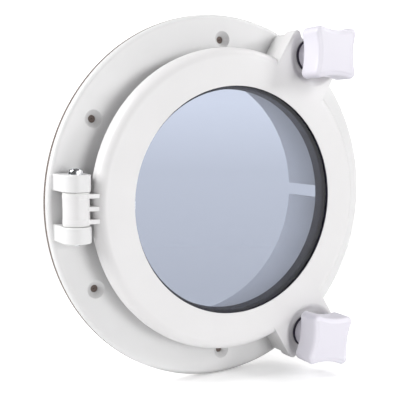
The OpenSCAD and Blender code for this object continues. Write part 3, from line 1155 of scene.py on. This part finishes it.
@dataclass(frozen=True)
class Glazing:
    """The pane, the rubber that holds it and the rubber that closes the lid on the coaming."""

    layout: Layout
    skin: float = 0.03 * MM
    bed_width: float = 5.0 * MM
    skirt: float = 1.2 * MM
    pane_edge: float = 0.5 * MM

    def _pane(self) -> bpy.types.Object:
        """Turns the pane with its ground edges."""
        back, front = heights("glass_pane")
        r = self.layout.glass_r - self.skin
        outline = [(0.0, back, 0.0), (r, back, self.pane_edge), (r, front, self.pane_edge), (0.0, front, 0.0)]
        return turn("tinted_pane", rounded(outline, closed=False))

    def _bed(self) -> bpy.types.Object:
        """Turns the rubber round the pane, with its skirt that hangs into the coaming."""
        line = self.layout
        low, high = heights("glazing_seal")
        glass_back, glass_front = heights("glass_pane")
        sight = line.glass_r - self.bed_width
        pocket = line.pocket_r - self.skin
        section = rounded(
            [
                (sight, low, 0.4 * MM),
                (sight + self.skirt, low, 0.4 * MM),
                (sight + self.skirt, line.lid_back, 0.3 * MM),
                (pocket, line.lid_back, 0.3 * MM),
                (pocket, high - self.skin, 0.0),
                (line.opening_r, high - self.skin, 0.2 * MM),
                (line.opening_r, glass_front + self.skin, 0.3 * MM),
                (line.glass_r, glass_front + self.skin, 0.0),
                (line.glass_r, glass_back - self.skin, 0.0),
                (sight, glass_back - self.skin, 0.4 * MM),
            ]
        )
        return turn("glazing_rubber", section)

    def _closing_seal(self) -> bpy.types.Object:
        """Turns the seal in the lid's back, with the bead that meets the coaming."""
        low, high = heights("lid_seal")
        outer = self.layout.seal_groove_r - self.skin
        middle_r = self.layout.seal_groove_r - 2.5 * MM
        inner = 2 * middle_r - outer
        bead = 1.5 * MM
        face = self.layout.lid_back
        section = rounded(
            [
                (inner, high - self.skin, 0.0),
                (inner, face, 0.2 * MM),
                (middle_r - bead, face - 0.4 * MM, 0.2 * MM),
                (middle_r - bead, low, 0.9 * MM),
                (middle_r + bead, low, 0.9 * MM),
                (middle_r + bead, face - 0.4 * MM, 0.2 * MM),
                (outer, face, 0.2 * MM),
                (outer, high - self.skin, 0.0),
            ]
        )
        return turn("closing_seal", section)

    def build(self, finishes: Finishes) -> None:
        """Models the pane and both rubbers and dresses them."""
        for piece, node in (
            (self._pane(), "glass_pane"),
            (self._bed(), "glazing_seal"),
            (self._closing_seal(), "lid_seal"),
        ):
            smooth(piece)
            finishes.dress(piece, node)


@dataclass(frozen=True)
class HingePin:
    """The pan-head screw that is the hinge's pin, its threaded bush, and the barrel's two bushes."""

    layout: Layout
    head_r: float = 5.0 * MM
    head_h: float = 4.2 * MM
    shank_r: float = 2.5 * MM
    cross_w: float = 1.5 * MM
    cross_l: float = 6.6 * MM
    cross_depth: float = 2.4 * MM
    cross_taper: float = 0.55
    pitch: float = 0.8 * MM
    thread_bush_bore_r: float = 2.52 * MM
    bush_bore_r: float = 2.56 * MM
    bush_r: float = 4.0 * MM

    def _screw(self) -> bpy.types.Object:
        """Turns the screw with its last threads and cuts the cross into its head."""
        low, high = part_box("hinge_screw")
        seat = high.z - self.head_h
        thread_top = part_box("hinge_insert")[1].z
        root = self.shank_r - 0.45 * MM
        threads = [(self.shank_r, thread_top + 0.5 * self.pitch)]
        count = int((thread_top - low.z - 0.6 * MM) / self.pitch)
        for i in range(count):
            z = thread_top - i * self.pitch
            threads += [(root, z), (self.shank_r, z - 0.5 * self.pitch)]
        dome = arc((self.head_r - 2.4 * MM, high.z - 2.4 * MM), 2.4 * MM, 0, 78, 8)
        section = [
            (0.0, high.z),
            *reversed(dome),
            (self.head_r, seat + 0.2 * MM),
            (self.head_r - 0.2 * MM, seat),
            (self.shank_r, seat),
            *threads,
            (root - 0.3 * MM, low.z),
            (0.0, low.z),
        ]
        screw = turn("hinge_pin_screw", section, Axis.UP, self.layout.hinge, FINE_TURN_STEPS)
        combine(screw, self._cross(high.z), Joining.CUT)
        return screw

    def _cross(self, top: float) -> bpy.types.Object:
        """Models the cross recess: two tapered slots that meet at right angles."""
        hinge = self.layout.hinge
        slots = []
        for along, across in (("x", "y"), ("y", "x")):
            reach, half = self.cross_l / 2, self.cross_w / 2
            floor = reach * self.cross_taper
            profile = [(-floor, -self.cross_depth), (floor, -self.cross_depth), (reach, MM), (-reach, MM)]
            points = []
            for distance, depth in profile:
                point = Vector((hinge.x, hinge.y, top + depth))
                setattr(point, along, getattr(hinge, along) + distance)
                setattr(point, across, getattr(hinge, across) - half)
                points.append(point)
            travel = Vector((0.0, 0.0, 0.0))
            setattr(travel, across, self.cross_w)
            slots.append(extrude("slot", points, travel))
        combine(slots[0], slots[1], Joining.ADD)
        return slots[0]

    def _insert(self) -> bpy.types.Object:
        """Turns the threaded bush in the lower ear."""
        low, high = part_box("hinge_insert")
        r = (high.x - low.x) / 2
        section = rounded(
            [
                (self.thread_bush_bore_r, low.z, 0.0),
                (r - 0.02 * MM, low.z, 0.3 * MM),
                (r - 0.02 * MM, high.z - 0.02 * MM, 0.3 * MM),
                (self.thread_bush_bore_r, high.z - 0.02 * MM, 0.0),
            ]
        )
        return turn("hinge_thread_bush", section, Axis.UP, self.layout.hinge, FINE_TURN_STEPS)

    def _bush(self, side: Side) -> bpy.types.Object:
        """Turns one flanged bush of the barrel."""
        node = "hinge_bush_top" if side is Side.UPPER else "hinge_bush_bottom"
        low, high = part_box(node)
        outer, inner = (high.z, low.z) if side is Side.UPPER else (low.z, high.z)
        flange_r = (high.x - low.x) / 2
        face = outer - MM * side.value
        section = rounded(
            [
                (self.bush_bore_r, outer, 0.2 * MM),
                (flange_r, outer, 0.25 * MM),
                (flange_r, face, 0.15 * MM),
                (self.bush_r, face, 0.0),
                (self.bush_r, inner, 0.3 * MM),
                (self.bush_bore_r, inner, 0.2 * MM),
            ]
        )
        return turn(node.replace("hinge_", "barrel_"), section, Axis.UP, self.layout.hinge, FINE_TURN_STEPS)

    def build(self, finishes: Finishes) -> None:
        """Models the pin, its threaded bush and the barrel's bushes and dresses them."""
        for piece, node in (
            (self._screw(), "hinge_screw"),
            (self._insert(), "hinge_insert"),
            (self._bush(Side.UPPER), "hinge_bush_top"),
            (self._bush(Side.LOWER), "hinge_bush_bottom"),
        ):
            close_up(piece)
            smooth(piece)
            finishes.dress(piece, node)


@dataclass(frozen=True)
class StarKnob:
    """One star knob with its stud, washer, clip and the brass insert that it screws into."""

    layout: Layout
    side: Side
    turned: float
    tip_reach: float = 25.0 * MM
    tip_r: float = 4.5 * MM
    waist: float = 17.0 * MM
    star_back: float = 40.0 * MM
    star_edge: float = 2.5 * MM
    dome: float = 0.6 * MM
    dome_shares: tuple[float, ...] = (0.45, 0.27, 0.18, 0.10)
    dome_step: float = 0.38 * MM
    boss_r: float = 12.0 * MM
    boss_neck_r: float = 10.6 * MM
    pitch: float = 1.0 * MM
    thread_depth: float = 0.6 * MM
    clip_groove_depth: float = 0.7 * MM
    washer_hole_r: float = 3.4 * MM
    washer_edge: float = 0.4 * MM
    clip_inner_r: float = 2.45 * MM
    clip_gap: float = 35.0
    insert_bore_r: float = 3.5 * MM

    def _node(self, stem: str) -> str:
        """Name of this knob's node of a kind."""
        return f"{stem}_{self.side.name.lower()}"

    def _turned(
        self, name: str, section: Sequence[SectionPoint], steps: int = FINE_TURN_STEPS
    ) -> bpy.types.Object:
        """Turns a section about this knob's axis."""
        return turn(name, section, centre=self.layout.knob(self.side), steps=steps)

    def _outline(self) -> list[SectionPoint]:
        """Outline of the star: four round tips that run smoothly into hollow sides."""
        tip_at = self.tip_reach - self.tip_r
        corner = tip_at / math.sqrt(2)
        waist = self.waist
        gap = self.tip_r - waist + corner
        hollow_r = ((waist - corner) ** 2 + corner**2 - self.tip_r**2) / (2 * gap)
        hollow_at = waist + hollow_r
        half_sweep = math.degrees(math.atan2(corner, hollow_at - corner))
        points: list[SectionPoint] = []
        for quarter in range(4):
            base = 90 * quarter + self.turned
            hollow = math.radians(base)
            tip = math.radians(base + 45)
            hollow_centre = (hollow_at * math.cos(hollow), hollow_at * math.sin(hollow))
            points += arc(hollow_centre, hollow_r, base + 180 + half_sweep, base + 180 - half_sweep, 16)
            tip_centre = (tip_at * math.cos(tip), tip_at * math.sin(tip))
            points += arc(tip_centre, self.tip_r, base - half_sweep, base + 90 + half_sweep, 22)[1:-1]
        return points

    def _star(self) -> bpy.types.Object:
        """Models the star, soft along every edge and slightly domed in front."""
        knob = self.layout.knob(self.side)
        front = heights(self._node("knob"))[1]
        rim = front - self.dome
        points = [Vector((knob.x + x, -self.star_back, knob.z + z)) for x, z in self._outline()]
        star = extrude("star", points, Vector((0.0, self.star_back - rim, 0.0)))
        bevel(star, lambda a, b: abs(a.y - b.y) < TINY, self.star_edge, 7)
        bpy.ops.object.mode_set(mode="EDIT")
        bpy.ops.mesh.select_mode(type="FACE")
        bpy.ops.mesh.select_all(action="DESELECT")
        bpy.ops.object.mode_set(mode="OBJECT")
        for face in star.data.polygons:
            face.select = face.normal.y < -0.999 and len(face.vertices) > 8
        bpy.ops.object.mode_set(mode="EDIT")
        for share in self.dome_shares:
            bpy.ops.mesh.inset(thickness=self.dome_step, depth=share * self.dome)
        bpy.ops.object.mode_set(mode="OBJECT")
        return star

    def _boss(self) -> bpy.types.Object:
        """Turns the boss behind the star."""
        low = heights(self._node("knob"))[0]
        top = self.star_back + 2 * MM
        section = rounded(
            [
                (0.0, low, 0.0),
                (self.boss_r, low, 0.6 * MM),
                (self.boss_neck_r, self.star_back, 0.0),
                (self.boss_neck_r, top, 0.0),
                (0.0, top, 0.0),
            ],
            closed=False,
        )
        return self._turned("boss", section)

    def _knob(self) -> bpy.types.Object:
        """Joins star and boss and bores them for the stud."""
        knob = self._star()
        combine(knob, self._boss(), Joining.ADD)
        low, high = heights(self._node("stud"))
        r = half_width(self._node("stud")) + 0.02 * MM
        bore = [(0.0, low), (r, low), (r, high + 0.02 * MM), (0.0, high + 0.02 * MM)]
        combine(knob, self._turned("stud_bore", bore, FINE_TURN_STEPS // 2), Joining.CUT)
        knob.name = self._node("star_knob")
        return knob

    def _stud(self) -> bpy.types.Object:
        """Models the stud: a helical thread trimmed to its tapered tip, shank and clip groove."""
        node = self._node("stud")
        centre = self.layout.knob(self.side)
        low, high = heights(node)
        r = half_width(node)
        bpy.ops.object.select_all(action="DESELECT")
        bpy.ops.mesh.primitive_circle_add(vertices=40, radius=r, location=(0.0, 0.0, 0.0))
        stud = bpy.context.object
        for i, point in enumerate(stud.data.vertices):
            crest = abs(1 - 2 * i / len(stud.data.vertices))
            point.co *= 1 - self.thread_depth / r * (1 - crest)
        helix = stud.modifiers.new("helix", "SCREW")
        helix.axis = "Z"
        helix.screw_offset = self.pitch
        helix.iterations = math.ceil((high - low) / self.pitch)
        helix.steps = helix.render_steps = 20
        bpy.ops.object.modifier_apply(modifier=helix.name)
        bpy.ops.object.mode_set(mode="EDIT")
        bpy.ops.mesh.select_mode(type="VERT")
        bpy.ops.mesh.select_all(action="SELECT")
        bpy.ops.mesh.fill_holes(sides=0)
        bpy.ops.object.mode_set(mode="OBJECT")
        stud.rotation_euler = (math.radians(90), 0.0, 0.0)
        stud.location = (centre.x, -low, centre.z)
        bpy.ops.object.transform_apply(location=True, rotation=True, scale=True)
        close_up(stud)
        clip_low, clip_high = heights(self._node("clip"))
        groove_r = r - self.clip_groove_depth
        envelope = [
            (0.0, low + TINY),
            (r - 0.8 * MM, low + TINY),
            (r, low + 0.8 * MM),
            (r, clip_low - 0.1 * MM),
            (groove_r, clip_low - 0.1 * MM),
            (groove_r, clip_high + 0.1 * MM),
            (r, clip_high + 0.1 * MM),
            (r, high - TINY),
            (0.0, high - TINY),
        ]
        combine(stud, self._turned("envelope", envelope, FINE_TURN_STEPS // 2), Joining.TRIM)
        stud.name = self._node("threaded_stud")
        return stud

    def _washer(self) -> bpy.types.Object:
        """Turns the rubber washer under the boss."""
        node = self._node("washer")
        low, high = heights(node)
        hole_r, r = self.washer_hole_r, half_width(node)
        outline = [(hole_r, low), (r, low), (r, high), (hole_r, high)]
        section = rounded([(x, h, self.washer_edge) for x, h in outline])
        return self._turned(self._node("rubber_washer"), section)

    def _clip(self) -> bpy.types.Object:
        """Models the open spring clip on the stud."""
        node = self._node("clip")
        centre = self.layout.knob(self.side)
        low, high = heights(node)
        gap = self.clip_gap
        outline = arc((0.0, 0.0), half_width(node), gap, 360 - gap, 40)
        outline += arc((0.0, 0.0), self.clip_inner_r, 360 - gap, gap, 40)
        points = [Vector((centre.x + x, -low, centre.z + z)) for x, z in outline]
        clip = extrude(self._node("spring_clip"), points, Vector((0.0, low - high, 0.0)))
        bevel(clip, lambda a, b: abs(a.y - b.y) < TINY, 0.15 * MM, 2)
        return clip

    def _insert(self) -> bpy.types.Object:
        """Turns the brass insert, with its thread showing as fine grooves in the bore."""
        node = self._node("insert")
        low, high = heights(node)
        r, bore_r = half_width(node), self.insert_bore_r
        floor = low + MM
        threads = []
        count = int((high - floor - 1.0 * MM) / self.pitch)
        for i in range(count):
            h = floor + (i + 0.5) * self.pitch
            threads += [(bore_r, h), (bore_r + 0.4 * MM, h + 0.5 * self.pitch)]
        section = [
            (0.0, low),
            (r - 0.3 * MM, low),
            (r - 0.02 * MM, low + 0.3 * MM),
            (r - 0.02 * MM, high),
            (bore_r + 0.5 * MM, high),
            *reversed(threads),
            (bore_r, floor),
            (0.0, floor),
        ]
        return self._turned(self._node("brass_insert"), section)

    def build(self, finishes: Finishes) -> None:
        """Models the knob and its small parts and dresses them."""
        for piece, stem in (
            (self._knob(), "knob"),
            (self._stud(), "stud"),
            (self._washer(), "washer"),
            (self._clip(), "clip"),
            (self._insert(), "insert"),
        ):
            close_up(piece)
            smooth(piece)
            finishes.dress(piece, self._node(stem))


# Studio


@dataclass(frozen=True)
class SoftBox:
    """A square light that faces the window's centre."""

    name: str
    azimuth: float
    elevation: float
    side: float
    watts: float
    distance: float = 1.3

    def hang(self) -> None:
        """Hangs the light at its angles, measured in degrees from straight in front."""
        turn_by, rise = math.radians(self.azimuth), math.radians(self.elevation)
        way = Vector((math.sin(turn_by) * math.cos(rise), -math.cos(turn_by) * math.cos(rise), math.sin(rise)))
        facing = (-way).to_track_quat("-Z", "Y").to_euler()
        bpy.ops.object.light_add(type="AREA", location=way * self.distance, rotation=facing)
        lamp = bpy.context.object
        lamp.name = self.name
        lamp.data.shape = "SQUARE"
        lamp.data.size = self.side
        lamp.data.energy = self.watts
        lamp.visible_camera = False
        lamp.visible_transmission = False


@dataclass(frozen=True)
class Studio:
    """A pale floor, white air all round, and soft lights in front, at both sides and above."""

    eye: Vector = Vector((-291.05, -482.18, 54.20)) * MM
    aim: Vector = Vector((-14.78, 0.50, -1.51)) * MM
    lens_mm: float = 64.8
    boxes: tuple[SoftBox, ...] = (
        SoftBox("front_box", 10.0, 4.0, 0.5, 5.5),
        SoftBox("left_strip", -100.0, 22.0, 0.5, 8.5),
        SoftBox("left_top_box", -95.0, 42.0, 0.5, 8.4),
        SoftBox("right_box", 45.0, 20.0, 0.3, 4.2),
        SoftBox("right_top_box", 80.0, 45.0, 0.5, 5.4),
    )
    air_front: float = 0.38
    air_back: float = 1.45
    card_way: Vector = Vector((0.52, -0.80, 0.10))
    card_dim: float = 0.15
    card_bright: float = 1.25
    card_edge: tuple[float, float] = (0.55, 0.85)
    backdrop_low: float = 1.15
    backdrop_high: float = 1.48
    backdrop_rise: tuple[float, float] = (-0.06, 0.035)
    backdrop_dip: float = 0.17
    backdrop_fall: tuple[float, float] = (-0.22, -0.07)
    floor_fade: tuple[float, float] = (0.35, 0.80)
    floor_white: float = 0.34

    def _camera(self) -> None:
        """Places the camera at eye level with the lid, to the left of its axis."""
        turn_to = (self.aim - self.eye).to_track_quat("-Z", "Y").to_euler()
        bpy.ops.object.camera_add(location=self.eye, rotation=turn_to)
        camera = bpy.context.object
        camera.name = "studio_camera"
        camera.data.lens = self.lens_mm
        camera.data.sensor_width = 36.0
        camera.data.clip_start = 0.01
        bpy.context.scene.camera = camera

    def _air(self) -> None:
        """Surrounds the scene with white air, set apart for what is lit, mirrored and seen directly."""
        world = bpy.data.worlds.new("studio_air")
        world.use_nodes = True
        bpy.context.scene.world = world
        nodes = Nodes(world.node_tree)
        background = world.node_tree.nodes["Background"]
        background.inputs["Color"].default_value = (1.0, 1.0, 1.0, 1.0)
        way = nodes.add("TexCoord").outputs["Generated"]
        parts = nodes.add("SeparateXYZ", {0: way})
        in_front = nodes.math("MULTIPLY", parts.outputs["Y"], -self.air_front)
        behind = nodes.math("MULTIPLY", parts.outputs["Y"], self.air_back)
        lit = nodes.math("MAXIMUM", in_front, behind)
        towards_card = nodes.add("VectorMath", {0: way, 1: self.card_way}, operation="DOT_PRODUCT")
        card_from, card_to = self.card_edge
        card = nodes.add(
            "MapRange",
            {"Value": towards_card.outputs["Value"], "From Min": card_from, "From Max": card_to,
             "To Min": self.card_dim, "To Max": self.card_bright},
        ).outputs[0]
        upper = nodes.add(
            "MapRange",
            {"Value": parts.outputs["Z"], "From Min": self.backdrop_rise[0], "From Max": self.backdrop_rise[1],
             "To Min": self.backdrop_low, "To Max": self.backdrop_high},
        ).outputs[0]
        dip = nodes.add(
            "MapRange",
            {"Value": parts.outputs["Z"], "From Min": self.backdrop_fall[0], "From Max": self.backdrop_fall[1],
             "To Min": self.backdrop_dip, "To Max": 0.0},
        ).outputs[0]
        backdrop = nodes.math("SUBTRACT", upper, dip)
        path = nodes.add("LightPath")
        seen = nodes.math("MAXIMUM", path.outputs["Is Camera Ray"], path.outputs["Is Transmission Ray"])
        glossy = path.outputs["Is Glossy Ray"]
        mirrored = nodes.add("Mix", {"Factor": glossy, 2: lit, 3: card}, data_type="FLOAT")
        strength = nodes.add("Mix", {"Factor": seen, 2: mirrored.outputs[0], 3: backdrop}, data_type="FLOAT")
        nodes.tree.links.new(strength.outputs[0], background.inputs["Strength"])

    def _floor(self) -> None:
        """Lays the pale floor just under the flange; further off it fades into the white air."""
        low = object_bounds()[0][2] - 0.2 * MM
        bpy.ops.object.select_all(action="DESELECT")
        bpy.ops.mesh.primitive_circle_add(vertices=64, radius=1.0, fill_type="NGON", location=(0.0, 0.0, low))
        floor = bpy.context.object
        floor.name = "studio_floor"
        bpy.ops.object.transform_apply(location=True, rotation=True, scale=True)
        nodes, skin, material = new_material("studio_floor_white")
        place = nodes.add("TexCoord").outputs["Object"]
        away = nodes.add("VectorMath", {0: place}, operation="LENGTH").outputs["Value"]
        near, far = self.floor_fade
        fade = nodes.add("MapRange", {"Value": away, "From Min": near, "From Max": far}).outputs[0]
        path = nodes.add("LightPath")
        at_eye = nodes.math("MULTIPLY", path.outputs["Is Camera Ray"], self.floor_white)
        nodes.tree.links.new(at_eye, skin.inputs["Emission Strength"])
        skin.inputs["Emission Color"].default_value = (1.0, 1.0, 1.0, 1.0)
        skin.inputs["Base Color"].default_value = (0.88, 0.88, 0.88, 1.0)
        skin.inputs["Roughness"].default_value = 0.7
        skin.inputs["Specular IOR Level"].default_value = 0.1
        clear = nodes.add("BsdfTransparent")
        gone = nodes.math("MAXIMUM", fade, path.outputs["Is Transmission Ray"])
        faded = nodes.add("MixShader", {0: gone, 1: skin.outputs[0], 2: clear.outputs[0]})
        output = next(node for node in material.node_tree.nodes if node.type == "OUTPUT_MATERIAL")
        nodes.tree.links.new(faded.outputs[0], output.inputs["Surface"])
        floor.data.materials.append(material)
        floor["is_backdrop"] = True

    def build(self) -> None:
        """Sets up the floor, the lights and the camera."""
        self._floor()
        self._air()
        for box in self.boxes:
            box.hang()
        self._camera()
        bpy.context.scene.view_settings.view_transform = "Standard"
        log.info("studio set, %d lights", len(self.boxes))


def corners(box: Sequence) -> list[list[float]]:
    """A box's two corners as plain lists of numbers."""
    return [[float(value) for value in corner] for corner in box]


def main() -> None:
    """Builds the window's pieces in order, then the studio around it."""
    logging.basicConfig(level=logging.INFO, format="%(name)s: %(message)s")
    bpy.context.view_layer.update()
    finishes = Finishes()
    layout = Layout.read()
    FrameMoulding(layout).build(finishes)
    WallGasket().build(finishes)
    LidMoulding(layout).build(finishes)
    Glazing(layout).build(finishes)
    HingePin(layout).build(finishes)
    StarKnob(layout, Side.UPPER, turned=0.0).build(finishes)
    StarKnob(layout, Side.LOWER, turned=-9.0).build(finishes)
    Studio().build()


if __name__ == "__main__":
    main()
